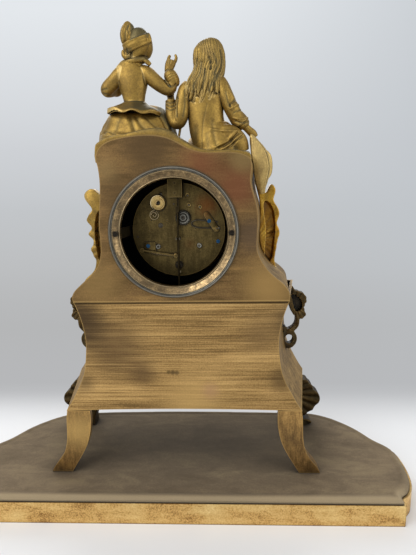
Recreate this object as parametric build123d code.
from build123d import *
import math
import os

# A gilt bronze mantel clock with two seated figures, standing on its velvet covered plinth.
# Millimetres. +Z is up, the dial faces -Y and the open back faces +Y. The origin is the
# middle of the plinth's underside. "Left" is +X, as seen from behind the clock.

# Shared sizes
overrun = 4.0
face_gap = 0.3
running_gap = 0.06
thin_gap = 0.15

# Plinth
plinth_half_width = 212.0
plinth_back = 79.0
plinth_front = 79.0
plinth_board_height = 20.0
velvet_thickness = 5.0
velvet_overhang = 2.0
velvet_edge_radius = 3.6
moulding_width = 5.0
back_rail_thickness = 4.0
plinth_shares = [
    (0.90, 0.90), (0.965, 0.72), (0.99, 0.50), (1.00, 0.20), (0.985, -0.03),
    (0.945, -0.17), (0.895, -0.42), (0.83, -0.66), (0.75, -0.85), (0.66, -0.95),
]

# Feet
foot_height = 62.0
back_foot_thickness = 5.0
back_foot_return = 13.0
back_foot_return_wall = 4.0
front_foot_thickness = 16.0
front_foot_overhang = 17.7
back_foot_inner_shares = [(0.800, 1.0), (0.802, 0.72), (0.835, 0.48), (0.900, 0.25), (0.985, 0.0)]
back_foot_outer_shares = [
    (1.165, 0.0), (1.125, 0.12), (1.060, 0.27), (1.020, 0.47), (1.008, 0.75), (0.995, 1.0),
]
front_foot_inner_shares = [(0.62, 1.0), (0.64, 0.72), (0.70, 0.42), (0.76, 0.18), (0.76, 0.0)]
front_foot_outer_shares = [
    (0.90, 0.0), (0.93, 0.09), (0.86, 0.16), (0.90, 0.24), (0.985, 0.45), (1.0, 0.52),
    (0.95, 0.70), (0.90, 0.86), (0.86, 0.90), (0.83, 1.0),
]

# Case
case_half_width = 95.0
case_back = 43.0
case_depth = 100.0
case_wall = 3.0
back_sheet = 2.0
lower_case_height = 103.0
upper_case_height = 139.5
lower_spread = 19.0
upper_spread = 12.0
apron_rise = 2.0
lower_side_shares = [
    (1.14, 0.0), (1.09, 0.07), (1.03, 0.17), (0.98, 0.26), (0.94, 0.36),
    (0.915, 0.50), (0.905, 0.62), (0.92, 0.76), (0.955, 0.89), (1.0, 1.0),
]
upper_left_shares = [
    (1.0, 0.0), (0.995, 0.05), (0.93, 0.10), (0.84, 0.155), (0.768, 0.205),
    (0.72, 0.28), (0.715, 0.45), (0.69, 0.68), (0.69, 0.78), (0.713, 0.87),
]
upper_top_shares = [
    (0.713, 0.87), (0.69, 0.92), (0.615, 0.963), (0.50, 0.986), (0.33, 1.0), (0.17, 0.997),
    (0.046, 0.974), (-0.09, 0.925), (-0.20, 0.90), (-0.35, 0.895), (-0.56, 0.885), (-0.635, 0.86),
]
upper_right_shares = [
    (-0.635, 0.86), (-0.647, 0.80), (-0.638, 0.75), (-0.69, 0.59), (-0.70, 0.40),
    (-0.705, 0.30), (-0.75, 0.235), (-0.84, 0.16), (-0.965, 0.085), (-1.0, 0.0),
]
deck_thickness = 3.0
deck_slot_width = 76.0
deck_slot_depth = 22.0
cartouche_half_width = 62.0
cartouche_height = 62.0
cartouche_relief = 3.0
cartouche_rim = 4.0
cartouche_boss = 14.0
cartouche_shares = [
    (1, 0), (0.88, 0.38), (0.80, 0.72), (0.5, 0.76), (0.25, 0.86),
    (0, 1), (-0.25, 0.86), (-0.5, 0.76), (-0.80, 0.72),
    (-0.88, 0.38), (-1, 0), (-0.88, -0.38), (-0.80, -0.72),
    (-0.5, -0.76), (-0.25, -0.86), (0, -1), (0.25, -0.86),
    (0.5, -0.76), (0.80, -0.72), (0.88, -0.38),
]
dial_opening_radius = 49.0
bezel_screw_radius = 1.6
bezel_screw_head_radius = 2.3
bezel_screw_head_height = 1.6
bezel_screw_circle = 49.1
screw_slot_width = 0.7
screw_slot_depth = 0.6

# Side ornaments
casting_wall = 2.5
scroll_thickness = 9.0
scroll_ring_radius = 8.5
scroll_ring_place_shares = (0.27, 0.30)
scroll_ring_hole = 4.2
scroll_front = 26.0
scroll_height = 68.0
scroll_width = 24.0
scroll_leaf_shares = [
    (0.05, 1.0), (0.36, 0.985), (0.52, 0.93), (0.80, 0.90), (1.0, 0.80), (0.90, 0.70),
    (0.98, 0.62), (0.70, 0.56), (0.50, 0.60), (0.36, 0.66), (0.22, 0.78), (0.08, 0.90),
]
scroll_dish_shares = [(0.40, 0.88), (0.66, 0.84), (0.80, 0.77), (0.74, 0.68), (0.58, 0.66), (0.42, 0.75)]
scroll_stem_shares = [(0.62, 0.60), (0.60, 0.50), (0.42, 0.42), (0.20, 0.40), (0.05, 0.46)]
scroll_stem_width = 4.4
rocaille_thickness = 12.0
rocaille_height = 100.0
rocaille_width = 36.0
rocaille_front = 22.0
rocaille_left_shares = [
    (0.0, 0.98), (0.30, 0.93), (0.62, 0.985), (0.93, 0.93),
    (0.80, 0.85), (0.66, 0.78), (0.88, 0.68), (0.72, 0.61),
    (0.85, 0.54), (0.66, 0.47), (0.76, 0.40), (0.64, 0.30),
    (0.66, 0.20), (0.86, 0.13), (1.10, 0.05), (1.02, 0.005),
    (0.60, 0.02), (0.25, 0.10), (0.0, 0.24),
]
rocaille_right_shares = [
    (0.0, 0.92), (0.24, 0.89), (0.44, 0.955), (0.60, 0.90),
    (0.52, 0.82), (0.68, 0.75), (0.76, 0.67), (0.68, 0.60),
    (0.80, 0.52), (0.72, 0.44), (0.66, 0.36), (0.60, 0.27),
    (0.66, 0.19), (0.86, 0.13), (1.08, 0.05), (1.0, 0.005),
    (0.60, 0.02), (0.25, 0.10), (0.0, 0.24),
]
rocaille_dish_shares = [
    (0.22, 0.80), (0.42, 0.76), (0.56, 0.66), (0.60, 0.52),
    (0.54, 0.38), (0.44, 0.26), (0.28, 0.22), (0.20, 0.40),
    (0.20, 0.60),
]

# Rear bezel
bezel_outer_radius = 55.5
bezel_rim_width = 4.0
bezel_rim_height = 5.0
bezel_ring_height = 2.4
bezel_inner_radius = 45.5
bezel_lip_width = 1.2
bezel_lip_height = 1.0

# Movement, measured from the back of its back plate towards the dial
dial_x = 4.4
dial_height = 59.2
movement_back = -1.0
plate_radius = 44.0
plate_thickness = 2.5
plate_gap = 34.5
pillar_radius = 2.6
pillar_collar_radius = 3.6
pillar_collar_height = 2.0
pillar_circle = 39.5
pillar_degrees = (60.0, 145.0, 195.0, 348.0)
bottom_pillar_drop = 31.8
bottom_screw_radius = 4.0
bottom_screw_height = 1.6
barrel_x = 19.8
barrel_drop = 14.0

# Wheel teeth
wheel_tip_share = 0.85
wheel_root_share = 1.05
wheel_flank_share = 0.27
leaf_tip_share = 0.55
leaf_root_share = 1.15
leaf_foot_share = 0.19
leaf_top_share = 0.11
great_module = 0.56
second_module = 0.66
train_module = 0.37
cannon_module = 0.5
hour_module = 0.48
great_teeth = 48
second_teeth = 40
big_pinion_leaves = 8
centre_teeth = 72
third_teeth = 60
small_pinion_leaves = 6
cannon_leaves = 12
minute_teeth = 36
minute_leaves = 10
hour_teeth = 40
pin_wheel_teeth = 48
locking_teeth = 42
escape_teeth = 42
escape_radius = 8.5
escape_tooth_height = 1.5
escape_back_share = 0.2
escape_arbor_rise = 14.6
pallet_span_teeth = 12
wheel_rim = 1.8
wheel_thickness = 0.9
great_thickness = 2.0
pinion_length = 1.7
arbor_radius = 0.7
centre_arbor_radius = 0.9
pivot_radius = 0.5
pivot_length = 1.6
hub_radius = 2.0
hub_height = 0.8
spoke_count = 4
spoke_half_width = 0.8

# Heights of the wheel layers in front of the back plate
escape_layer = 6.0
third_layer = 10.0
locking_layer = 12.0
centre_layer = 14.6
second_layer = 19.5
great_layer = 24.5
barrel_depth = 9.0
barrel_radius = 12.2
motion_layer = 41.0
hour_layer = 43.2
dial_layer = 47.0
hour_hand_layer = 50.4
minute_hand_layer = 52.6
fly_layer = 25.0

# Winding arbors
winding_arbor_radius = 2.0
winding_pivot_radius = 1.2
winding_square = 3.4
winding_length = 10.0
winding_pivot_stub = 1.2

# Strike train
pin_wheel_degrees = 60.0
locking_degrees = 100.0
fly_degrees = 120.0
fly_half_width = 5.0
fly_height = 8.0
fly_thickness = 0.4
hammer_pin_count = 8
hammer_pin_circle = 6.5
hammer_pin_radius = 0.45
hammer_pin_length = 1.5
hammer_x = 35.0
hammer_drop = 18.5
hammer_ball_x = 2.8
hammer_ball_drop = 23.9
hammer_ball_radius = 1.7
hammer_rod_radius = 0.7
hammer_plane = 4.4
hammer_boss = 2.6

# Pallets, crutch and pendulum
pallet_clear = 0.12
pallet_nib_length = 3.4
pallet_nib_width = 0.45
pallet_arm_width = 1.8
pallet_thickness = 1.2
pallet_hub_radius = 1.8
crutch_plane = 3.6
crutch_width = 1.2
crutch_length = 35.7
fork_length = 7.0
fork_height = 2.0
fork_tine = 1.0
pendulum_plane = 8.0
pendulum_length = 127.0
pendulum_rod_radius = 1.0
spring_thickness = 0.2
spring_width = 5.0
spring_above = 4.0
spring_below = 6.0
hook_width = 3.0
hook_height = 5.0
bob_radius = 17.0
bob_half_thickness = 4.0
bob_rim = 1.2
bob_profile_shares = [(0.0, 1.0), (0.45, 0.85), (0.8, 0.5)]
rod_tail = 26.0
nut_radius = 3.4
nut_height = 3.0
nut_sides = 6
block_width = 13.0
block_height = 16.0
block_depth = 14.0
block_offset = 1.5
block_lift = 2.2
block_screw_radius = 1.1
block_screw_shares = (-0.25, 0.3)
block_slot_margin = 0.45

# Fittings on the back plate, as x and z from the movement's middle
hammer_cock_width = 12.0
hammer_cock_height = 11.6
cock_thickness = 2.2
hammer_cock_place = (31.9, -15.3)
blue_screw_places = ((-29.1, 8.3), (-37.3, -11.0), (29.4, -14.6))
blue_screw_radius = 1.7
blue_screw_height = 0.9
detent_cock_start = (-27.0, 13.4)
detent_cock_end = (-35.6, 1.9)
detent_cock_width = 5.6
detent_spring_wire = 0.8
detent_spring_place = (-14.0, 4.6)
detent_spring_reach = 19.0
detent_spring_bow = 3.2
bright_disc_place = (18.6, 26.6)
bright_disc_radius = 7.3
bright_disc_thickness = 1.6
bright_disc_stub = 2.4
dim_disc_place = (-4.6, 12.3)
dim_disc_radius = 6.9
dim_disc_thickness = 1.4

# Dial, hands and front bezel
surround_inner_radius = 43.0
dial_radius = 45.2
dial_thickness = 1.2
dial_seat_radius = 45.5
surround_flange_radius = 54.0
surround_flange_height = 3.0
winding_hole_radius = 4.0
dial_centre_hole = 3.2
hour_hand_length = 24.0
minute_hand_length = 36.0
hand_thickness = 0.8
hand_half_width = 2.0
hand_hub_radius = 3.6
hand_stem_share = 0.7
hand_ring_share = 0.62
hand_ring_outer_share = 1.4
hand_ring_inner_share = 0.8
hand_tip_shares = [(-1, 0.78), (0, 1), (1, 0.78), (0, 0.7)]
front_bezel_radius = 55.0
front_bezel_opening = 43.5
front_bezel_height = 6.0
front_bezel_shares = [(1, 0), (1, 0.3), (0.72, 0.85), (0.1, 1), (-0.1, 0.7)]
glass_radius = 46.5
glass_thickness = 1.5
glass_seat = 1.2
hinge_offset = 57.6
knuckle_radius = 1.9
knuckle_length = 6.0
hinge_pin_radius = 0.8
strap_width = 9.0
strap_thickness = 1.5
strap_radius = 46.1
strap_tab = 7.5
strap_tab_thickness = 2.4

# Figures: rings are x, y, z and two half widths; limbs are x, y, z and a radius,
# as shares of a figure's size from its place on the case
figure_sides = 16
limb_sides = 10
figure_depth = 45.0
lady_size = 100.0
lady_place_share = 0.442
skirt_sides = 32
skirt_fold_count = 8
skirt_fold_share = 0.035
lady_skirt_shares = [
    (-0.03, -0.12, -0.10, 0.38, 0.36), (-0.03, -0.11, 0.035, 0.365, 0.35),
    (-0.035, -0.08, 0.135, 0.335, 0.31),
    (-0.02, -0.03, 0.225, 0.27, 0.22), (-0.005, 0.0, 0.277, 0.19, 0.15),
]
lady_torso_shares = [
    (0, 0, 0.28, 0.24, 0.17), (0, 0, 0.305, 0.245, 0.175),
    (0, 0, 0.33, 0.14, 0.11), (0, 0, 0.375, 0.098, 0.08),
    (0, 0, 0.45, 0.12, 0.09), (0, 0, 0.53, 0.14, 0.10),
    (0, 0, 0.62, 0.145, 0.09), (-0.005, 0, 0.655, 0.11, 0.075),
    (-0.015, 0, 0.685, 0.055, 0.05), (-0.025, 0, 0.72, 0.045, 0.045),
]
lady_head_shares = [
    (-0.025, 0, 0.722, 0.045, 0.045), (-0.035, -0.01, 0.74, 0.055, 0.06), (-0.05, -0.015, 0.78, 0.08, 0.09),
    (-0.055, -0.01, 0.83, 0.096, 0.10), (-0.055, 0, 0.88, 0.092, 0.095), (-0.05, 0, 0.92, 0.07, 0.07),
    (-0.05, 0, 0.945, 0.03, 0.03),
]
lady_plume_shares = [
    (-0.01, 0.0, 0.87, 0.02, 0.03), (0.03, 0, 0.92, 0.05, 0.05), (0.02, 0, 0.97, 0.055, 0.05),
    (-0.02, 0, 1.01, 0.04, 0.04), (-0.05, 0, 1.025, 0.015, 0.02),
]
lady_left_arm_shares = [
    (0.125, 0.01, 0.62, 0.05), (0.225, 0.02, 0.52, 0.048), (0.27, 0.0, 0.455, 0.045),
    (0.21, -0.09, 0.39, 0.04), (0.12, -0.18, 0.345, 0.03),
]
lady_right_arm_shares = [
    (-0.115, 0, 0.61, 0.05), (-0.24, 0.01, 0.51, 0.048),
    (-0.345, 0.01, 0.45, 0.048), (-0.37, -0.01, 0.51, 0.05),
    (-0.345, -0.02, 0.60, 0.038), (-0.335, -0.03, 0.67, 0.028), (-0.35, -0.04, 0.755, 0.022),
]
gentleman_size = 100.0
gentleman_reach = 35.5
gentleman_seat_share = 0.90
gentleman_body_shares = [
    (-0.08, -0.02, -0.10, 0.29, 0.22), (-0.08, -0.02, 0.05, 0.29, 0.21), (-0.05, -0.01, 0.16, 0.22, 0.16),
    (0, 0, 0.30, 0.175, 0.13), (0.03, 0, 0.45, 0.155, 0.115), (0.045, 0, 0.57, 0.15, 0.105),
    (0.05, 0, 0.66, 0.145, 0.09), (0.04, 0, 0.70, 0.09, 0.07), (0.03, 0, 0.735, 0.055, 0.05),
]
gentleman_hair_shares = [
    (0.11, 0.10, 0.54, 0.03, 0.02), (0.09, 0.09, 0.60, 0.12, 0.035), (0.06, 0.07, 0.70, 0.14, 0.06),
    (0.03, 0.06, 0.79, 0.14, 0.08), (0.01, 0.05, 0.86, 0.12, 0.08),
]
gentleman_head_shares = [
    (0.03, 0, 0.737, 0.08, 0.075), (0.01, 0.01, 0.79, 0.13, 0.115), (-0.005, 0.01, 0.87, 0.146, 0.125),
    (-0.005, 0, 0.95, 0.125, 0.115), (0, 0, 1.01, 0.075, 0.07), (0, 0, 1.035, 0.03, 0.03),
]
gentleman_left_arm_shares = [
    (0.165, 0.02, 0.63, 0.06), (0.235, 0.02, 0.49, 0.055), (0.28, 0.02, 0.375, 0.05),
    (0.33, -0.02, 0.385, 0.046), (0.345, -0.06, 0.45, 0.042), (0.35, -0.10, 0.52, 0.036),
]
gentleman_legs_shares = [
    [(0.10, -0.02, 0.12, 0.09), (0.14, -0.20, 0.17, 0.08),
     (0.13, -0.36, 0.20, 0.07), (0.10, -0.42, 0.14, 0.055),
     (0.08, -0.46, 0.07, 0.045), (0.07, -0.53, 0.045, 0.04)],
    [(-0.16, -0.06, 0.11, 0.10), (-0.23, -0.20, 0.15, 0.085), (-0.28, -0.33, 0.17, 0.07),
     (-0.27, -0.40, 0.12, 0.055), (-0.25, -0.44, 0.06, 0.045), (-0.24, -0.52, 0.04, 0.04)],
]
gentleman_right_arm_shares = [
    (-0.08, 0.02, 0.64, 0.06), (-0.21, 0.02, 0.46, 0.056),
    (-0.33, 0.01, 0.32, 0.055), (-0.41, -0.01, 0.215, 0.03),
]
gentleman_hat_shares = [
    (-0.48, -0.01, -0.31, 0.03, 0.05), (-0.51, -0.01, -0.20, 0.065, 0.15),
    (-0.48, -0.01, -0.03, 0.07, 0.16),
    (-0.42, -0.01, 0.14, 0.03, 0.07), (-0.41, -0.01, 0.22, 0.015, 0.03),
]
mound_thickness = 5.0
mound_back = 40.0
mound_low_share = 0.865

# Places worked out from the sizes above
stand_z = plinth_board_height + velvet_thickness
lower_z = stand_z + foot_height
joint_z = lower_z + lower_case_height
top_z = joint_z + upper_case_height
dial_z = joint_z + dial_height
case_front = case_back - case_depth
front_plate_layer = plate_thickness + plate_gap
facade_layer = movement_back - case_front
pallet_half_degrees = 180.0 * pallet_span_teeth / escape_teeth
pallet_distance = escape_radius / math.cos(math.radians(pallet_half_degrees))
pallet_rise = escape_arbor_rise + pallet_distance
bob_z = dial_z + pallet_rise - pendulum_length


def polar(radius, degrees):
    angle = math.radians(degrees)
    return (radius * math.cos(angle), radius * math.sin(angle))


def direction(start, end):
    return math.degrees(math.atan2(end[1] - start[1], end[0] - start[0]))


def step_from(start, distance, degrees):
    x, z = polar(distance, degrees)
    return (start[0] + x, start[1] + z)


def meeting_point(first, first_distance, second, second_distance, side):
    """The point at given distances from two others; side is 1 or -1."""
    span = math.dist(first, second)
    along = (span**2 + first_distance**2 - second_distance**2) / span / 2
    across = math.sqrt(first_distance**2 - along**2) * side
    turn = direction(first, second)
    foot = step_from(first, along, turn)
    return step_from(foot, across, turn + 90)


def mesh_distance(teeth, leaves, module):
    return (teeth + leaves) * module / 2


# Arbor places in the movement, as x and z from the hands' axis
centre_place = (0, 0)
going_place = (-barrel_x, -barrel_drop)
strike_place = (barrel_x, -barrel_drop)
escape_place = (0, escape_arbor_rise)
pallet_place = (0, pallet_rise)
great_distance = mesh_distance(great_teeth, big_pinion_leaves, great_module)
second_distance = mesh_distance(second_teeth, big_pinion_leaves, second_module)
third_distance = mesh_distance(centre_teeth, small_pinion_leaves, train_module)
escape_distance = mesh_distance(third_teeth, small_pinion_leaves, train_module)
minute_distance = mesh_distance(minute_teeth, cannon_leaves, cannon_module)
locking_distance = mesh_distance(pin_wheel_teeth, small_pinion_leaves, train_module)
fly_distance = mesh_distance(locking_teeth, small_pinion_leaves, train_module)
second_place = meeting_point(going_place, great_distance, centre_place, second_distance, 1)
third_place = meeting_point(centre_place, third_distance, escape_place, escape_distance, -1)
minute_place = (0, -minute_distance)
pin_wheel_place = step_from(strike_place, great_distance, pin_wheel_degrees)
locking_place = step_from(pin_wheel_place, locking_distance, locking_degrees)
fly_place = step_from(locking_place, fly_distance, fly_degrees)
hammer_place = (hammer_x, -hammer_drop)
ball_place = (hammer_ball_x, -hammer_ball_drop)


# Small helpers
def facing_back(y):
    """A sketch plane across the clock at y, drawn in x and z, growing towards the dial."""
    return Plane(origin=(0, y, 0), x_dir=(1, 0, 0), z_dir=(0, -1, 0))


def in_movement(place, layer):
    """The plane at an arbor, a layer in front of the back plate's outer face."""
    origin = (dial_x + place[0], movement_back - layer, dial_z + place[1])
    return Plane(origin=origin, x_dir=(1, 0, 0), z_dir=(0, -1, 0))


def disc(place, layer, radius, height):
    low = Cylinder(radius, height, align=(Align.CENTER, Align.CENTER, Align.MIN))
    return in_movement(place, layer) * low


def bar(place, layer, width, height, depth):
    low = Box(width, height, depth, align=(Align.CENTER, Align.CENTER, Align.MIN))
    return in_movement(place, layer) * low


def turned(place, layer, section):
    """A ring or shaft turned on an arbor's axis from (radius, layer) corners."""
    face = Plane.XZ * Polygon(*section, align=None)
    return in_movement(place, layer) * revolve(face, Axis.Z)


def one_solid(shape):
    """The single solid of a shape, for writing."""
    solids = shape.solids()
    return solids[0] if len(solids) == 1 else Compound(solids)


def sheet(face, y, thickness):
    """A flat piece whose back lies at y, growing towards the dial."""
    return extrude(facing_back(y) * face, amount=thickness, dir=(0, -1, 0))


def scaled(shares, width, height, x=0.0, z=0.0):
    return [(x + share_x * width, z + share_z * height) for share_x, share_z in shares]


def mirrored(points):
    return [(-x, z) for x, z in reversed(points)]


parts = {}


# Plinth
def plinth_edge(margin):
    """The plan outline of the plinth, drawn in by a margin."""
    half = plinth_half_width - margin
    back = plinth_back
    front = plinth_front - margin
    right = [(x * half, y * (back if y > 0 else front)) for x, y in plinth_shares]
    left = mirrored(right)
    side = Spline(*right)
    nose = Spline(right[-1], (0, -front), left[0])
    other = Spline(*left)
    corner = Polyline(left[-1], (left[-1][0], back), (right[0][0], back), right[0])
    return make_face([side, nose, other, corner])


board_edge = moulding_width + face_gap
parts["plinth_core"] = extrude(plinth_edge(board_edge), amount=plinth_board_height)
moulding = extrude(plinth_edge(0), amount=plinth_board_height)
moulding -= extrude(plinth_edge(moulding_width), amount=plinth_board_height)
rail_room = Box(
    2 * plinth_half_width, back_rail_thickness + overrun, plinth_board_height + overrun,
    align=(Align.CENTER, Align.MIN, Align.CENTER),
)
moulding -= Pos(0, plinth_back - back_rail_thickness, plinth_board_height / 2) * rail_room
parts["plinth_moulding"] = moulding
core_trim = Pos(0, plinth_back - back_rail_thickness - face_gap, plinth_board_height / 2) * rail_room
parts["plinth_core"] -= core_trim
rail_half = plinth_half_width * plinth_shares[0][0]
rail = Box(
    2 * rail_half, back_rail_thickness, plinth_board_height, align=(Align.CENTER, Align.MAX, Align.MIN),
)
parts["plinth_back_rail"] = Pos(0, plinth_back, 0) * rail
velvet_roll = velvet_thickness - velvet_edge_radius / 2
velvet = extrude(Plane.XY.offset(plinth_board_height) * plinth_edge(velvet_overhang), amount=velvet_roll)
velvet += loft([
    Plane.XY.offset(plinth_board_height + velvet_roll) * plinth_edge(velvet_overhang),
    Plane.XY.offset(stand_z) * plinth_edge(velvet_overhang + velvet_edge_radius),
], ruled=True)
parts["plinth_velvet"] = velvet


# Case outlines
def lower_outline(spread, margin, low, high):
    """The waisted lower case seen from behind; low and high stretch it past its ends."""
    side = scaled(lower_side_shares, case_half_width, lower_case_height, spread - margin, lower_z)
    other = mirrored(side)
    top = Line(side[-1], other[0])
    if high:
        top = Polyline(side[-1], (side[-1][0], joint_z + high), (other[0][0], joint_z + high), other[0])
    base = ThreePointArc(other[-1], (0, lower_z + apron_rise), side[0])
    if low:
        base = Polyline(other[-1], (other[-1][0], lower_z - low), (side[0][0], lower_z - low), side[0])
    return make_face([Spline(*side), top, Spline(*other), base])


def upper_outline(spread, margin, low):
    """The waisted upper case with its wavy top, seen from behind."""
    grow = spread - margin
    tall = upper_case_height - margin
    left = scaled(upper_left_shares, case_half_width, tall, grow, joint_z)
    right = scaled(upper_right_shares, case_half_width, tall, -grow, joint_z)
    left_growth = case_half_width + grow / upper_top_shares[0][0]
    right_growth = case_half_width - grow / upper_top_shares[-1][0]
    top = []
    for share_x, share_z in upper_top_shares:
        reach = left_growth if share_x > 0 else right_growth
        top.append((share_x * reach, joint_z + share_z * tall))
    base = Line(right[-1], left[0])
    if low:
        base = Polyline(right[-1], (right[-1][0], joint_z - low), (left[0][0], joint_z - low), left[0])
    return make_face([Spline(*left), Spline(*top), Spline(*right), base])


inner_back = case_back - back_sheet


def between(back_face, back_y, front_face, front_y):
    return loft([facing_back(back_y) * back_face, facing_back(front_y) * front_face], ruled=True)


# Lower case
lower_shell = between(
    lower_outline(0, 0, 0, 0), inner_back, lower_outline(lower_spread, 0, 0, 0), case_front,
)
hollow_step = lower_spread * overrun / (inner_back - case_front)
lower_hollow = between(
    lower_outline(-hollow_step, case_wall, overrun, overrun), inner_back + overrun,
    lower_outline(lower_spread, case_wall, overrun, overrun), case_front + case_wall,
)
lower_shell -= lower_hollow


def cartouche(margin):
    points = scaled(cartouche_shares, cartouche_half_width - margin, cartouche_height / 2 - margin)
    return Pos(0, lower_z + lower_case_height / 2) * make_face(Spline(*points, periodic=True))


cartouche_edge = cartouche(0) - cartouche(cartouche_rim)
lower_shell += sheet(cartouche_edge, case_front, cartouche_relief)
boss = Cylinder(cartouche_boss, cartouche_relief) - Cylinder(
    cartouche_boss - cartouche_rim, cartouche_relief,
)
boss_middle = Pos(0, case_front - cartouche_relief / 2, lower_z + lower_case_height / 2)
lower_shell += boss_middle * Rot(90, 0, 0) * boss
parts["lower_case_body"] = lower_shell
parts["lower_case_back"] = sheet(lower_outline(0, 0, 0, 0), case_back, back_sheet)

deck_share = lower_side_shares[-2][0]
deck_half_back = case_half_width * deck_share - case_wall - face_gap
deck_front = case_front + case_wall + face_gap
deck_half_front = deck_half_back + lower_spread * (inner_back - deck_front) / (inner_back - case_front)
deck_plan = Polyline(
    (-deck_half_back, inner_back), (deck_half_back, inner_back), (deck_half_front, deck_front),
    (-deck_half_front, deck_front), (-deck_half_back, inner_back),
)
deck = extrude(Plane.XY.offset(joint_z - deck_thickness) * make_face(deck_plan), amount=deck_thickness)
slot = Box(deck_slot_width, deck_slot_depth, deck_thickness + overrun)
deck -= Pos(dial_x, movement_back + pendulum_plane, joint_z - deck_thickness / 2) * slot
parts["case_deck"] = deck

# Upper case
upper_shell = between(upper_outline(0, 0, 0), inner_back, upper_outline(upper_spread, 0, 0), case_front)
upper_step = upper_spread * overrun / (inner_back - case_front)
upper_hollow = between(
    upper_outline(-upper_step, case_wall, overrun), inner_back + overrun,
    upper_outline(upper_spread, case_wall, overrun), case_front + case_wall,
)
upper_shell -= upper_hollow
upper_shell -= disc(
    centre_place, facade_layer - case_wall - overrun, dial_opening_radius, case_wall + 2 * overrun,
)
parts["upper_case_body"] = upper_shell
back_panel = sheet(upper_outline(0, 0, 0), case_back, back_sheet)
back_layer = movement_back - case_back
spigot_radius = bezel_inner_radius + bezel_lip_width
back_panel -= disc(centre_place, back_layer - overrun, spigot_radius + thin_gap, back_sheet + 2 * overrun)
screw_places = [(bezel_screw_circle, 0), (-bezel_screw_circle, 0)]
for place in screw_places:
    back_panel -= disc(place, back_layer - overrun, bezel_screw_radius + thin_gap, back_sheet + 2 * overrun)
parts["upper_case_back"] = back_panel

# Rear bezel, its screws and the straps they pull on
rim_inner = bezel_outer_radius - bezel_rim_width
rear_bezel = turned(centre_place, back_layer, [
    (bezel_inner_radius, back_sheet), (bezel_inner_radius, -bezel_ring_height - bezel_lip_height),
    (spigot_radius, -bezel_ring_height - bezel_lip_height), (spigot_radius, -bezel_ring_height),
    (rim_inner, -bezel_ring_height), (rim_inner + bezel_rim_width / 4, -bezel_rim_height),
    (bezel_outer_radius - bezel_rim_width / 4, -bezel_rim_height),
    (bezel_outer_radius, -bezel_rim_height / 2),
    (bezel_outer_radius, 0), (spigot_radius, 0), (spigot_radius, back_sheet),
])
for place in screw_places:
    rear_bezel -= disc(
        place, back_layer - bezel_rim_height, bezel_screw_radius + thin_gap, 2 * bezel_rim_height,
    )
parts["rear_bezel"] = rear_bezel


def slotted_screw(place, seat_layer, head_radius, head_height, shank_radius, shank_length):
    """A cheese head on the back side of a seat, with its shank running forwards."""
    screw = disc(place, seat_layer - head_height, head_radius, head_height)
    screw += disc(place, seat_layer, shank_radius, shank_length)
    slot_start = seat_layer - head_height - overrun
    return screw - bar(place, slot_start, 2 * head_radius, screw_slot_width, overrun + screw_slot_depth)


shank = bezel_ring_height + back_sheet + strap_tab_thickness
bezel_screws = [
    slotted_screw(
        place, back_layer - bezel_ring_height, bezel_screw_head_radius, bezel_screw_head_height,
        bezel_screw_radius, shank,
    )
    for place in screw_places
]
parts["bezel_screws"] = Compound(bezel_screws)
strap_start = back_layer + back_sheet
straps = []
for side in (1, -1):
    middle = (side * (strap_radius + strap_thickness / 2), 0)
    strap = bar(
        middle, strap_start, strap_thickness, strap_width, front_plate_layer + plate_thickness - strap_start,
    )
    tab_middle = (side * (strap_radius + strap_tab / 2), 0)
    strap += bar(tab_middle, strap_start, strap_tab, strap_width, strap_tab_thickness)
    hole_place = (side * bezel_screw_circle, 0)
    strap -= disc(
        hole_place, strap_start - overrun, bezel_screw_radius + thin_gap, strap_tab_thickness + 2 * overrun,
    )
    straps.append(strap)
parts["movement_straps"] = Compound([one_solid(strap) for strap in straps])


# Wheels and pinions
def wheel_blank(teeth, module, phase, thickness):
    """A wheel with pointed teeth; a tooth stands at the phase, in degrees."""
    pitch = 360 / teeth
    radius = teeth * module / 2
    tip = radius + module * wheel_tip_share
    root = radius - module * wheel_root_share
    points = []
    for tooth in range(teeth):
        middle = phase + tooth * pitch
        points.append(polar(root, middle - pitch * wheel_flank_share))
        points.append(polar(tip, middle))
        points.append(polar(root, middle + pitch * wheel_flank_share))
    return extrude(Polygon(*points, align=None), amount=thickness)


def pinion_blank(leaves, module, phase, length):
    """A pinion with flat topped leaves; a gap lies at the phase, in degrees."""
    pitch = 360 / leaves
    radius = leaves * module / 2
    tip = radius + module * leaf_tip_share
    root = radius - module * leaf_root_share
    points = []
    for leaf in range(leaves):
        middle = phase + (leaf + 0.5) * pitch
        points.append(polar(root, middle - pitch * leaf_foot_share))
        points.append(polar(tip, middle - pitch * leaf_top_share))
        points.append(polar(tip, middle + pitch * leaf_top_share))
        points.append(polar(root, middle + pitch * leaf_foot_share))
    return extrude(Polygon(*points, align=None), amount=length)


def crossings(outer, inner, thickness):
    """The openings between a wheel's spokes."""
    openings = []
    for spoke in range(spoke_count):
        start = 360 / spoke_count * spoke
        end = start + 360 / spoke_count
        middle = (start + end) / 2
        outer_lean = math.degrees(math.asin(spoke_half_width / outer))
        inner_lean = math.degrees(math.asin(spoke_half_width / inner))
        corners = [
            polar(inner, start + inner_lean), polar(outer, start + outer_lean),
            polar(outer, (start + middle) / 2 + outer_lean / 2), polar(outer, middle),
            polar(outer, (end + middle) / 2 - outer_lean / 2), polar(outer, end - outer_lean),
            polar(inner, end - inner_lean),
        ]
        openings.append(extrude(Polygon(*corners, align=None), amount=thickness))
    return openings


def train_wheel(place, layer, teeth, module, toward, thickness=wheel_thickness):
    """A crossed-out wheel whose tooth points toward the arbor that it drives."""
    blank = wheel_blank(teeth, module, direction(place, toward), thickness)
    rim = teeth * module / 2 - module * wheel_root_share - wheel_rim
    for opening in crossings(rim, hub_radius + hub_height, thickness):
        blank -= opening
    return in_movement(place, layer) * blank


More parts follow.
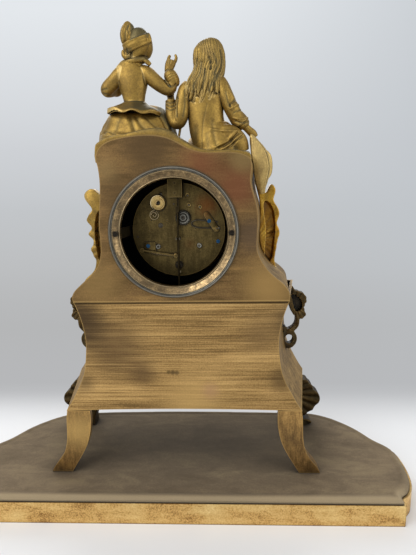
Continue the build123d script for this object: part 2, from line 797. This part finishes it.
def train_pinion(place, layer, leaves, module, toward, length=pinion_length):
    blank = pinion_blank(leaves, module, direction(place, toward), length)
    return in_movement(place, layer) * blank


def train_arbor(place, radius=arbor_radius):
    """A plain arbor between the plates with a pivot in each plate."""
    body = disc(place, plate_thickness + face_gap, radius, plate_gap - 2 * face_gap)
    pivots = disc(place, plate_thickness - pivot_length, pivot_radius, plate_gap + 2 * pivot_length)
    return body + pivots


def mid(layer, thickness, length):
    """The layer at which a length sits centred on a wheel of a thickness."""
    return layer + (thickness - length) / 2


second_wheel = train_arbor(second_place)
second_wheel += train_wheel(second_place, second_layer, second_teeth, second_module, centre_place)
second_wheel += train_pinion(
    second_place, great_layer, big_pinion_leaves, great_module, going_place, great_thickness,
)
second_wheel += disc(second_place, second_layer, hub_radius, wheel_thickness + hub_height)
parts["second_wheel"] = second_wheel

third_wheel = train_arbor(third_place)
third_wheel += train_wheel(third_place, third_layer, third_teeth, train_module, escape_place)
third_wheel += train_pinion(
    third_place, mid(centre_layer, wheel_thickness, pinion_length),
    small_pinion_leaves, train_module, centre_place,
)
third_wheel += disc(third_place, third_layer, hub_radius, wheel_thickness + hub_height)
parts["third_wheel"] = third_wheel

# The centre wheel carries the cannon pipe, which carries the minute hand
cannon_radius = centre_arbor_radius + hub_height
minute_end = minute_hand_layer + hand_thickness + hub_height
centre_wheel = disc(
    centre_place, plate_thickness + face_gap, centre_arbor_radius, minute_end - plate_thickness,
)
centre_wheel += disc(centre_place, plate_thickness - pivot_length, pivot_radius, pivot_length + face_gap)
centre_wheel += train_wheel(centre_place, centre_layer, centre_teeth, train_module, third_place)
centre_wheel += train_pinion(
    centre_place, mid(second_layer, wheel_thickness, pinion_length),
    big_pinion_leaves, second_module, second_place,
)
centre_wheel += disc(centre_place, centre_layer, hub_radius, wheel_thickness + hub_height)
cannon_start = front_plate_layer + plate_thickness + face_gap
centre_wheel += disc(centre_place, cannon_start, cannon_radius, minute_hand_layer - cannon_start)
centre_wheel += train_pinion(
    centre_place, motion_layer, cannon_leaves, cannon_module, minute_place, wheel_thickness,
)
parts["centre_wheel"] = centre_wheel

stud_bore = arbor_radius + running_gap
minute_wheel = train_wheel(minute_place, motion_layer, minute_teeth, cannon_module, centre_place)
minute_pinion_length = hour_layer + wheel_thickness - motion_layer
minute_wheel += train_pinion(
    minute_place, motion_layer, minute_leaves, hour_module, centre_place, minute_pinion_length,
)
minute_wheel -= disc(minute_place, motion_layer - overrun, stud_bore, 3 * overrun)
parts["minute_wheel"] = minute_wheel

hour_bore = cannon_radius + running_gap
hour_pipe_radius = hour_bore + hub_height / 2
hour_wheel = train_wheel(centre_place, hour_layer, hour_teeth, hour_module, minute_place)
hour_wheel += disc(
    centre_place, hour_layer, hour_pipe_radius, hour_hand_layer + hand_thickness - hour_layer,
)
hour_wheel -= disc(centre_place, hour_layer - overrun, hour_bore, 4 * overrun)
parts["hour_wheel"] = hour_wheel


# Escapement
def escape_blank(phase):
    """The escape wheel: steep fronts, sloping backs; a gap lies at the phase."""
    pitch = 360 / escape_teeth
    points = []
    for tooth in range(escape_teeth):
        start = phase + (tooth + 0.5) * pitch
        points.append(polar(escape_radius, start))
        points.append(polar(escape_radius - escape_tooth_height, start + pitch * escape_back_share))
    blank = extrude(Polygon(*points, align=None), amount=wheel_thickness)
    rim = escape_radius - escape_tooth_height - wheel_rim / 2
    for opening in crossings(rim, hub_radius, wheel_thickness):
        blank -= opening
    return blank


up_degrees = direction(escape_place, pallet_place)
escape_wheel = train_arbor(escape_place)
escape_wheel += in_movement(escape_place, escape_layer) * escape_blank(up_degrees)
escape_wheel += train_pinion(
    escape_place, mid(third_layer, wheel_thickness, pinion_length),
    small_pinion_leaves, train_module, third_place,
)
parts["escape_wheel"] = escape_wheel

pallet_layer = mid(escape_layer, wheel_thickness, pallet_thickness)
pallets = disc(pallet_place, pallet_layer, pallet_hub_radius, pallet_thickness)
nib_start = escape_radius + pallet_clear
nib_end = nib_start + pallet_nib_length
for side in (1, -1):
    nib_degrees = up_degrees + side * pallet_half_degrees
    nib_middle = step_from(escape_place, (nib_start + nib_end) / 2, nib_degrees)
    nib = Box(
        pallet_nib_length, pallet_nib_width, pallet_thickness,
        align=(Align.CENTER, Align.CENTER, Align.MIN),
    )
    pallets += in_movement(nib_middle, pallet_layer) * Rot(0, 0, nib_degrees) * nib
    elbow = step_from(escape_place, nib_end - pallet_arm_width / 2, nib_degrees)
    arm_length = math.dist(elbow, pallet_place)
    arm_middle = ((elbow[0] + pallet_place[0]) / 2, (elbow[1] + pallet_place[1]) / 2)
    arm = Box(
        arm_length + pallet_arm_width / 2, pallet_arm_width, pallet_thickness,
        align=(Align.CENTER, Align.CENTER, Align.MIN),
    )
    pallets += in_movement(arm_middle, pallet_layer) * Rot(0, 0, direction(pallet_place, elbow)) * arm
front_end = plate_thickness + plate_gap
crutch_end = crutch_plane + crutch_width
pallets += disc(pallet_place, -crutch_end, arbor_radius, front_end + crutch_end - face_gap)
pallets += disc(pallet_place, front_end - face_gap, pivot_radius, pivot_length + face_gap)
crutch_middle = (pallet_place[0], pallet_place[1] - crutch_length / 2)
pallets += bar(crutch_middle, -crutch_end, crutch_width, crutch_length, crutch_width)
fork_drop = pallet_place[1] - crutch_length
fork_inside = pendulum_rod_radius + thin_gap
fork_width = 2 * (fork_inside + fork_tine)
pallets += bar((pallet_place[0], fork_drop), -crutch_end, fork_width, fork_height, crutch_width)
for side in (1, -1):
    tine_middle = (pallet_place[0] + side * (fork_inside + fork_tine / 2), fork_drop)
    pallets += bar(tine_middle, -crutch_plane - fork_length, fork_tine, fork_height, fork_length)
parts["pallets"] = pallets

# Suspension block, pendulum rod and bob
block_place = (pallet_place[0] + block_offset, pallet_place[1] + block_lift + block_height / 2)
block = bar(block_place, -block_depth, block_width, block_height, block_depth)
block_slot = bar(
    (pallet_place[0], pallet_place[1] + block_lift), -pendulum_plane - spring_width / 2 - block_slot_margin,
    spring_thickness + 2 * block_slot_margin, 2 * spring_above, spring_width + 2 * block_slot_margin,
)
block -= block_slot
for rise_share in block_screw_shares:
    screw_place = (block_place[0], block_place[1] + rise_share * block_height)
    block -= disc(screw_place, -block_depth - overrun, block_screw_radius, overrun + screw_slot_depth)
parts["suspension_block"] = block

spring_length = spring_above + spring_below
spring_middle = (pallet_place[0], pallet_place[1] + (spring_above - spring_below) / 2)
pendulum = bar(
    spring_middle, -pendulum_plane - spring_width / 2, spring_thickness, spring_length, spring_width,
)
hook_middle = (pallet_place[0], pallet_place[1] - spring_below - hook_height / 2)
pendulum += bar(hook_middle, -pendulum_plane - spring_width / 2, hook_width, hook_height, spring_width)
rod_length = pendulum_length + rod_tail - spring_below - hook_height
rod_middle = (pallet_place[0], pallet_place[1] - spring_below - hook_height - rod_length / 2)
rod = Cylinder(pendulum_rod_radius, rod_length)
pendulum += Pos(dial_x + rod_middle[0], movement_back + pendulum_plane, dial_z + rod_middle[1]) * rod
parts["pendulum_rod"] = pendulum

bob_back = scaled(bob_profile_shares, bob_radius, -bob_half_thickness)
bob_front = scaled(bob_profile_shares[::-1], bob_radius, bob_half_thickness)
bob_section = bob_back + [(bob_radius, -bob_rim / 2), (bob_radius, bob_rim / 2)] + bob_front
bob = turned((pallet_place[0], bob_z - dial_z), -pendulum_plane, bob_section)
nut_solid = extrude(RegularPolygon(nut_radius, nut_sides), amount=nut_height)
bob_bore = Cylinder(pendulum_rod_radius + running_gap, 2 * bob_radius + 4 * nut_height)
rod_line = Pos(dial_x, movement_back + pendulum_plane, bob_z)
bob -= rod_line * bob_bore
nut_place = Pos(dial_x, movement_back + pendulum_plane, bob_z - bob_radius - nut_height - thin_gap)
nut_part = nut_place * nut_solid - rod_line * bob_bore
parts["pendulum_bob"] = Compound([one_solid(bob), one_solid(nut_part)])


# Barrels and winding arbors
def barrel(place, toward):
    drum = disc(place, great_layer + great_thickness, barrel_radius, barrel_depth)
    blank = wheel_blank(great_teeth, great_module, direction(place, toward), great_thickness)
    drum += in_movement(place, great_layer) * blank
    cap = barrel_radius - wheel_rim
    drum -= disc(place, great_layer + great_thickness + barrel_depth - hub_height, cap, overrun)
    drum -= disc(
        place, great_layer - overrun, winding_arbor_radius + running_gap, barrel_depth + 3 * overrun,
    )
    return drum


def winding_arbor(place):
    start = great_layer - 2 * face_gap
    arbor = disc(place, start, winding_arbor_radius, front_end - face_gap - start)
    arbor += disc(
        place, -winding_pivot_stub, winding_pivot_radius, front_end + winding_pivot_stub + plate_thickness,
    )
    arbor += bar(place, front_end + plate_thickness, winding_square, winding_square, winding_length)
    return arbor


parts["going_barrel"] = barrel(going_place, second_place)
parts["strike_barrel"] = barrel(strike_place, pin_wheel_place)
parts["going_winding_arbor"] = winding_arbor(going_place)
parts["strike_winding_arbor"] = winding_arbor(strike_place)

# Strike train
pin_wheel = train_arbor(pin_wheel_place)
pin_wheel += in_movement(pin_wheel_place, second_layer) * wheel_blank(
    pin_wheel_teeth, train_module, direction(pin_wheel_place, locking_place), wheel_thickness,
)
pin_wheel += train_pinion(
    pin_wheel_place, great_layer, big_pinion_leaves, great_module, strike_place, great_thickness,
)
for pin in range(hammer_pin_count):
    pin_place = step_from(pin_wheel_place, hammer_pin_circle, 360 / hammer_pin_count * pin)
    pin_wheel += disc(pin_place, second_layer, hammer_pin_radius, wheel_thickness + hammer_pin_length)
parts["pin_wheel"] = pin_wheel

locking_wheel = train_arbor(locking_place)
locking_wheel += train_wheel(locking_place, locking_layer, locking_teeth, train_module, fly_place)
locking_wheel += train_pinion(
    locking_place, mid(second_layer, wheel_thickness, pinion_length),
    small_pinion_leaves, train_module, pin_wheel_place,
)
parts["locking_wheel"] = locking_wheel

fly = train_arbor(fly_place)
fly += train_pinion(
    fly_place, mid(locking_layer, wheel_thickness, pinion_length),
    small_pinion_leaves, train_module, locking_place,
)
fly += bar(fly_place, fly_layer, 2 * fly_half_width, fly_thickness, fly_height)
parts["fly"] = fly

hammer_end = hammer_plane + hammer_boss / 2
hammer = disc(hammer_place, -hammer_end, arbor_radius, front_end + hammer_end - face_gap)
hammer += disc(hammer_place, -hammer_end, hub_radius, hammer_boss)
hammer += disc(hammer_place, front_end - face_gap, pivot_radius, pivot_length + face_gap)
rod_span = math.dist(hammer_place, ball_place)
rod_align = (Align.MIN, Align.CENTER, Align.CENTER)
hammer_rod = Box(rod_span, 2 * hammer_rod_radius, 2 * hammer_rod_radius, align=rod_align)
hammer += in_movement(hammer_place, -hammer_plane) * Rot(0, 0, direction(hammer_place, ball_place)) * hammer_rod
hammer += disc(ball_place, -hammer_end, hammer_ball_radius, hammer_boss)
tail_span = math.dist(hammer_place, pin_wheel_place) - hammer_pin_circle - hammer_pin_radius - face_gap
tail = Box(tail_span, 2 * arbor_radius, wheel_thickness, align=(Align.MIN, Align.CENTER, Align.MIN))
tail_turn = Rot(0, 0, direction(hammer_place, pin_wheel_place))
hammer += in_movement(hammer_place, second_layer + wheel_thickness + face_gap) * tail_turn * tail
parts["hammer"] = hammer

# Plates and pillars
arbor_places = [second_place, third_place, escape_place, pin_wheel_place, locking_place, fly_place]
pivot_hole = pivot_radius + running_gap
arbor_hole = arbor_radius + running_gap
wide_hole = centre_arbor_radius + running_gap
back_plate = disc(centre_place, 0, plate_radius, plate_thickness)
for place in arbor_places + [centre_place]:
    back_plate -= disc(place, -overrun, pivot_hole, plate_thickness + 2 * overrun)
for place in (pallet_place, hammer_place):
    back_plate -= disc(place, -overrun, arbor_hole, plate_thickness + 2 * overrun)
for place in (going_place, strike_place):
    back_plate -= disc(place, -overrun, winding_pivot_radius + running_gap, plate_thickness + 2 * overrun)
parts["back_plate"] = back_plate

front_plate = disc(centre_place, front_end, plate_radius, plate_thickness)
front_plate -= disc(centre_place, front_end - overrun, wide_hole, plate_thickness + 2 * overrun)
for place in arbor_places + [pallet_place, hammer_place]:
    front_plate -= disc(place, front_end - overrun, pivot_hole, plate_thickness + 2 * overrun)
for place in (going_place, strike_place):
    front_plate -= disc(
        place, front_end - overrun, winding_pivot_radius + running_gap, plate_thickness + 2 * overrun,
    )
stud_top = hour_layer + wheel_thickness + face_gap
front_plate += disc(minute_place, front_end, arbor_radius, stud_top - front_end)
parts["front_plate"] = front_plate

pillars = []
pillar_places = [polar(pillar_circle, degrees) for degrees in pillar_degrees]
pillar_places.append((0, -bottom_pillar_drop))
for place in pillar_places:
    pillar = disc(place, plate_thickness, pillar_radius, plate_gap)
    pillar += disc(place, plate_thickness, pillar_collar_radius, pillar_collar_height)
    pillar += disc(place, front_end - pillar_collar_height, pillar_collar_radius, pillar_collar_height)
    pillars.append(one_solid(pillar))
parts["plate_pillars"] = Compound(pillars)

# Fittings on the back plate
cocks = []
hammer_cock = bar(hammer_cock_place, -cock_thickness, hammer_cock_width, hammer_cock_height, cock_thickness)
hammer_cock -= disc(hammer_place, -cock_thickness - overrun, arbor_hole, cock_thickness + 2 * overrun)
detent_length = math.dist(detent_cock_start, detent_cock_end)
detent_middle = (
    (detent_cock_start[0] + detent_cock_end[0]) / 2, (detent_cock_start[1] + detent_cock_end[1]) / 2,
)
detent_shape = SlotCenterToCenter(detent_length, detent_cock_width)
detent_plate = extrude(
    Rot(0, 0, direction(detent_cock_start, detent_cock_end)) * detent_shape, amount=cock_thickness,
)
detent_cock = in_movement(detent_middle, -cock_thickness) * detent_plate
spring_x, spring_z = detent_spring_place
spring_room = 2 * (detent_spring_bow - detent_spring_wire)
spring_outside = SlotOverall(detent_spring_reach, 2 * detent_spring_bow)
spring_inside = SlotOverall(detent_spring_reach - 2 * detent_spring_wire, spring_room)
spring_mouth = Pos(-detent_spring_reach / 2, 0) * Rectangle(2 * detent_spring_bow, spring_room)
detent_loop = extrude(spring_outside - spring_inside - spring_mouth, amount=detent_spring_wire)
spring_centre = (spring_x - detent_spring_reach / 2, spring_z - detent_spring_bow / 2)
detent_spring = in_movement(spring_centre, -detent_spring_wire) * detent_loop
bright_disc = disc(
    bright_disc_place, -bright_disc_stub - bright_disc_thickness, bright_disc_radius, bright_disc_thickness,
)
bright_disc += disc(bright_disc_place, -bright_disc_stub, hub_radius, bright_disc_stub)
dim_disc = disc(dim_disc_place, -dim_disc_thickness, dim_disc_radius, dim_disc_thickness)
dim_disc += disc(dim_disc_place, -dim_disc_thickness - hub_height, hub_radius, hub_height)
bottom_place = (0, -bottom_pillar_drop)
bottom_screw = disc(bottom_place, -bottom_screw_height, bottom_screw_radius, bottom_screw_height)
bottom_screw -= bar(
    bottom_place, -bottom_screw_height, 2 * bottom_screw_radius, screw_slot_width, screw_slot_depth,
)
for shape in (hammer_cock, detent_cock, detent_spring, bright_disc, dim_disc, bottom_screw):
    cocks += [one_solid(shape)]
parts["plate_cocks"] = Compound(cocks)
blue_screws = []
blue_seats = (-cock_thickness, 0, -cock_thickness)
for place, seat in zip(blue_screw_places, blue_seats):
    head = disc(place, seat - blue_screw_height, blue_screw_radius, blue_screw_height)
    head -= bar(
        place, seat - blue_screw_height, 2 * blue_screw_radius, screw_slot_width / 2, screw_slot_depth,
    )
    blue_screws.append(one_solid(head))
parts["blue_screws"] = Compound(blue_screws)

# Dial and its surround
surround_outer = dial_opening_radius - thin_gap
surround = turned(centre_place, 0, [
    (surround_inner_radius, front_end + plate_thickness), (surround_outer, front_end + plate_thickness),
    (surround_outer, facade_layer), (surround_flange_radius, facade_layer),
    (surround_flange_radius, facade_layer + surround_flange_height / 2),
    (surround_flange_radius - surround_flange_height, facade_layer + surround_flange_height),
    (dial_seat_radius, facade_layer + surround_flange_height), (dial_seat_radius, dial_layer),
    (surround_inner_radius, dial_layer),
])
hinge_layer = facade_layer + surround_flange_height + face_gap
hinge_place = (-hinge_offset, 0)


def knuckle(low, high):
    tube = Cylinder(knuckle_radius, high - low, align=(Align.CENTER, Align.CENTER, Align.MIN))
    return in_movement((hinge_place[0], low), hinge_layer) * Rot(-90, 0, 0) * tube


def hinge_leaf(low, high, layer, height, reach):
    length = hinge_offset - reach
    leaf_box = Box(length, high - low, height, align=(Align.MIN, Align.MIN, Align.MIN))
    return in_movement((hinge_place[0], low), layer) * leaf_box


bezel_back = facade_layer + surround_flange_height + 2 * face_gap
inner_knuckle = knuckle_length / 2 - face_gap / 2
outer_knuckle = knuckle_length * 3 / 2
leaf_reach = surround_flange_radius - surround_flange_height
for low, high in ((-outer_knuckle, -knuckle_length / 2), (knuckle_length / 2, outer_knuckle)):
    leaf = hinge_leaf(low, high, facade_layer, surround_flange_height / 2, leaf_reach)
    surround += leaf
    surround += knuckle(low, high)
pin_tube = Cylinder(hinge_pin_radius, 2 * outer_knuckle, align=(Align.CENTER, Align.CENTER, Align.MIN))
pin_solid = in_movement((hinge_place[0], -outer_knuckle), hinge_layer) * Rot(-90, 0, 0) * pin_tube
surround += pin_solid
parts["dial_surround"] = surround

dial = disc(centre_place, dial_layer, dial_radius, dial_thickness)
dial -= disc(centre_place, dial_layer - overrun, dial_centre_hole, dial_thickness + 2 * overrun)
for place in (going_place, strike_place):
    dial -= disc(place, dial_layer - overrun, winding_hole_radius, dial_thickness + 2 * overrun)
parts["dial"] = dial


def hand(length, layer, bore):
    """A pierced hand that points up: a hub, a stem, an open ring and a tip."""
    ring_middle = Pos(0, length * hand_ring_share)
    tip = make_face(Polyline(*scaled(hand_tip_shares, hand_half_width, length), close=True))
    shape = extrude(Circle(hand_hub_radius), amount=hand_thickness)
    shape += extrude(
        Pos(0, length / 2) * Rectangle(hand_half_width * hand_stem_share, length), amount=hand_thickness,
    )
    shape += extrude(ring_middle * Circle(hand_half_width * hand_ring_outer_share), amount=hand_thickness)
    shape += extrude(tip, amount=hand_thickness, dir=(0, 0, 1))
    shape -= extrude(ring_middle * Circle(hand_half_width * hand_ring_inner_share), amount=hand_thickness)
    shape -= extrude(Circle(bore), amount=hand_thickness)
    return in_movement(centre_place, layer) * shape


parts["hour_hand"] = hand(hour_hand_length, hour_hand_layer, hour_pipe_radius)
minute_hand = hand(minute_hand_length, minute_hand_layer, centre_arbor_radius)
parts["minute_hand"] = minute_hand

# Front bezel and its glass
bezel_ring_width = front_bezel_radius - glass_radius
glass_front = glass_seat + glass_thickness + thin_gap
bezel_profile = scaled(front_bezel_shares, bezel_ring_width, front_bezel_height, glass_radius)
front_bezel = turned(centre_place, bezel_back, [(glass_radius + thin_gap, 0)] + bezel_profile + [
    (front_bezel_opening, glass_front + hub_height), (front_bezel_opening, glass_front),
    (glass_radius + thin_gap, glass_front),
])
bezel_leaf = hinge_leaf(
    -inner_knuckle, inner_knuckle, bezel_back, knuckle_radius, front_bezel_radius - hub_height,
)
front_bezel += bezel_leaf
front_bezel += knuckle(-inner_knuckle, inner_knuckle)
pin_bore = Cylinder(hinge_pin_radius + running_gap, 2 * knuckle_length)
front_bezel -= in_movement(hinge_place, hinge_layer) * Rot(-90, 0, 0) * pin_bore
parts["front_bezel"] = front_bezel
parts["bezel_glass"] = disc(centre_place, bezel_back + glass_seat, glass_radius, glass_thickness)


# Feet
def foot_points(shares, width):
    return scaled(shares, width, foot_height, 0, stand_z)


def back_foot(side):
    reach = case_half_width * lower_side_shares[0][0]
    inner = foot_points(back_foot_inner_shares, reach)
    outer = foot_points(back_foot_outer_shares, reach)
    face = make_face([Spline(*inner), Line(inner[-1], outer[0]), Spline(*outer), Line(outer[-1], inner[0])])
    foot = sheet(face, case_back, back_foot_thickness)
    shifted = [(x - back_foot_return_wall, z) for x, z in outer]
    web = make_face([
        Spline(*outer), Line(outer[-1], shifted[-1]),
        Spline(*reversed(shifted)), Line(shifted[0], outer[0]),
    ])
    foot += sheet(web, case_back, back_foot_return)
    return foot if side > 0 else mirror(foot, about=Plane.YZ)


def front_foot(side):
    reach = case_half_width * lower_side_shares[0][0] + lower_spread + front_foot_overhang
    inner = foot_points(front_foot_inner_shares, reach)
    outer = foot_points(front_foot_outer_shares, reach)
    face = make_face([Spline(*inner), Line(inner[-1], outer[0]), Spline(*outer), Line(outer[-1], inner[0])])
    foot = sheet(face, case_front + front_foot_thickness, front_foot_thickness)
    return foot if side > 0 else mirror(foot, about=Plane.YZ)


parts["back_foot_left"] = back_foot(1)
parts["back_foot_right"] = back_foot(-1)
parts["front_foot_left"] = front_foot(1)
parts["front_foot_right"] = front_foot(-1)


# Side scrolls and rocaille castings
upper_room = Box(
    4 * case_half_width, 2 * case_depth, upper_case_height, align=(Align.CENTER, Align.CENTER, Align.MIN),
)


def spread_at(y, spread):
    """How much further out the case's side lies at y than at its back."""
    return spread * (inner_back - y) / (inner_back - case_front)


def hollow_leaf(points, dish_points, y, thickness):
    """A cast leaf with a curved edge, dished out from behind."""
    leaf = sheet(make_face(Spline(*points, periodic=True)), y, thickness)
    dish = make_face(Spline(*dish_points, periodic=True))
    return leaf - sheet(dish, y + overrun, thickness - casting_wall + overrun)


def side_scroll(side):
    y = case_front + scroll_front
    start_x = case_half_width * lower_side_shares[-3][0] + spread_at(y, lower_spread) - case_wall / 2
    start_z = joint_z - scroll_height
    points = scaled(scroll_leaf_shares, scroll_width, scroll_height, start_x, start_z)
    dish_points = scaled(scroll_dish_shares, scroll_width, scroll_height, start_x, start_z)
    back_y = y + scroll_thickness / 2
    casting = hollow_leaf(points, dish_points, back_y, scroll_thickness)
    stem_line = Spline(*scaled(scroll_stem_shares, scroll_width, scroll_height, start_x, start_z))
    stem = trace(stem_line, line_width=scroll_stem_width)
    casting += sheet(stem, back_y, scroll_thickness)
    (ring_x, ring_z), = scaled([scroll_ring_place_shares], scroll_width, scroll_height, start_x, start_z)
    casting += sheet(Pos(ring_x, ring_z) * Circle(scroll_ring_radius), back_y, scroll_thickness)
    casting -= sheet(
        Pos(ring_x, ring_z) * Circle(scroll_ring_hole), y + scroll_thickness, 2 * scroll_thickness,
    )
    placed = casting if side > 0 else mirror(casting, about=Plane.YZ)
    return placed - lower_solid_outer - Pos(0, 0, joint_z - thin_gap) * upper_room


def rocaille(side, shares):
    y = case_front + rocaille_front
    start_x = case_half_width * upper_left_shares[5][0] + spread_at(y, upper_spread) - case_wall / 2
    points = scaled(shares, rocaille_width, rocaille_height, start_x, joint_z)
    dish_points = scaled(rocaille_dish_shares, rocaille_width, rocaille_height, start_x, joint_z)
    casting = hollow_leaf(points, dish_points, y + rocaille_thickness, rocaille_thickness)
    placed = casting if side > 0 else mirror(casting, about=Plane.YZ)
    return (placed & Pos(0, 0, joint_z + thin_gap) * upper_room) - upper_solid_outer


lower_solid_outer = between(
    lower_outline(0, -thin_gap, 0, 0), inner_back, lower_outline(lower_spread, -thin_gap, 0, 0), case_front,
)
upper_solid_outer = between(
    upper_outline(0, -thin_gap, 0), inner_back, upper_outline(upper_spread, -thin_gap, 0), case_front,
)
parts["side_scroll_left"] = side_scroll(1)
parts["side_scroll_right"] = side_scroll(-1)
parts["rocaille_left"] = rocaille(1, rocaille_left_shares)
parts["rocaille_right"] = rocaille(-1, rocaille_right_shares)


# Mound and figures
def triangle(first, second, third):
    return Face(Wire.make_polygon([first, second, third], close=True))


def skin(rings):
    """A closed solid through rings with equal numbers of points."""
    faces = [
        Face(Wire.make_polygon(rings[0][::-1], close=True)), Face(Wire.make_polygon(rings[-1], close=True)),
    ]
    for low, high in zip(rings, rings[1:]):
        for index, corner in enumerate(low):
            following = (index + 1) % len(low)
            faces.append(triangle(corner, low[following], high[following]))
            faces.append(triangle(corner, high[following], high[index]))
    return Solid(Shell(faces))


def eased(shares):
    """The rings as written, with one more between each two on a smooth line through them."""
    rows = []
    for index, row in enumerate(shares[:-1]):
        before = shares[max(index - 1, 0)]
        following = shares[index + 1]
        after = shares[min(index + 2, len(shares) - 1)]
        rows.append(row)
        rows.append([(b + c) * 9 / 16 - (a + d) / 16 for a, b, c, d in zip(before, row, following, after)])
    return rows + [shares[-1]]


def ring(centre, half_x, half_y, sides, folds=0, fold_share=0.0):
    points = []
    for side in range(sides):
        degrees = 360 / sides * side
        ripple = 1 + fold_share * math.cos(math.radians(folds * degrees))
        x, y = polar(ripple, degrees)
        points.append(Vector(centre[0] + half_x * x, centre[1] + half_y * y, centre[2]))
    return points


def body_of(place, size, shares, sides=figure_sides, folds=0, fold_share=0.0):
    rings = []
    for x, y, z, half_x, half_y in eased(shares):
        centre = (place[0] + x * size, place[1] + y * size, place[2] + z * size)
        rings.append(ring(centre, half_x * size, half_y * size, sides, folds, fold_share))
    return skin(rings)


def limb_of(place, size, shares, across_dir=(0, 1, 0)):
    shares = eased(shares)
    middles = [Vector(*place) + Vector(x, y, z) * size for x, y, z, _ in shares]
    rings = []
    for index, middle in enumerate(middles):
        before = middles[max(index - 1, 0)]
        after = middles[min(index + 1, len(middles) - 1)]
        across = Plane(origin=middle, x_dir=across_dir, z_dir=after - before)
        radius = shares[index][3] * size
        corners = [polar(radius, 360 / limb_sides * side) for side in range(limb_sides)]
        rings.append([across.from_local_coords((x, y, 0)) for x, y in corners])
    return skin(rings)


mound_cap = between(
    upper_outline(0, -mound_thickness, 0), mound_back,
    upper_outline(upper_spread, -mound_thickness, 0), case_front,
)
mound_low = joint_z + mound_low_share * upper_case_height
mound = (mound_cap & Pos(0, 0, mound_low) * upper_room) - upper_solid_outer
parts["seat_mound"] = mound
seat_growth = mound_thickness + thin_gap
seat_cut = between(
    upper_outline(0, -seat_growth, 0), mound_back, upper_outline(upper_spread, -seat_growth, 0), case_front,
)

figure_y = case_back - figure_depth
lady = (lady_place_share * case_half_width, figure_y, top_z)
skirt = body_of(lady, lady_size, lady_skirt_shares, skirt_sides, skirt_fold_count, skirt_fold_share)
parts["lady_skirt"] = skirt - seat_cut
lady_torso = body_of(lady, lady_size, lady_torso_shares)
parts["lady_torso"] = lady_torso
lady_head = body_of(lady, lady_size, lady_head_shares) + body_of(lady, lady_size, lady_plume_shares)
parts["lady_head"] = lady_head
parts["lady_left_arm"] = limb_of(lady, lady_size, lady_left_arm_shares) - lady_torso
parts["lady_right_arm"] = limb_of(lady, lady_size, lady_right_arm_shares) - lady_torso

gentleman_x = upper_right_shares[1][0] * case_half_width + gentleman_reach
gentleman = (gentleman_x, figure_y, joint_z + gentleman_seat_share * upper_case_height)
gentleman_body = body_of(gentleman, gentleman_size, gentleman_body_shares)
for leg_shares in gentleman_legs_shares:
    gentleman_body += limb_of(gentleman, gentleman_size, leg_shares, (1, 0, 0))
gentleman_body -= seat_cut
parts["gentleman_body"] = gentleman_body
gentleman_head = body_of(gentleman, gentleman_size, gentleman_head_shares)
gentleman_head += body_of(gentleman, gentleman_size, gentleman_hair_shares)
gentleman_head -= gentleman_body
parts["gentleman_head"] = gentleman_head
gentleman_left_arm = limb_of(gentleman, gentleman_size, gentleman_left_arm_shares)
parts["gentleman_left_arm"] = gentleman_left_arm - gentleman_body - gentleman_head
gentleman_right_arm = limb_of(gentleman, gentleman_size, gentleman_right_arm_shares) - gentleman_body
parts["gentleman_right_arm"] = gentleman_right_arm
gentleman_hat = body_of(gentleman, gentleman_size, gentleman_hat_shares) - gentleman_right_arm - seat_cut
parts["gentleman_hat"] = gentleman_hat

os.makedirs("parts", exist_ok=True)
for name, shape in parts.items():
    export_step(one_solid(shape), f"parts/{name}.step")
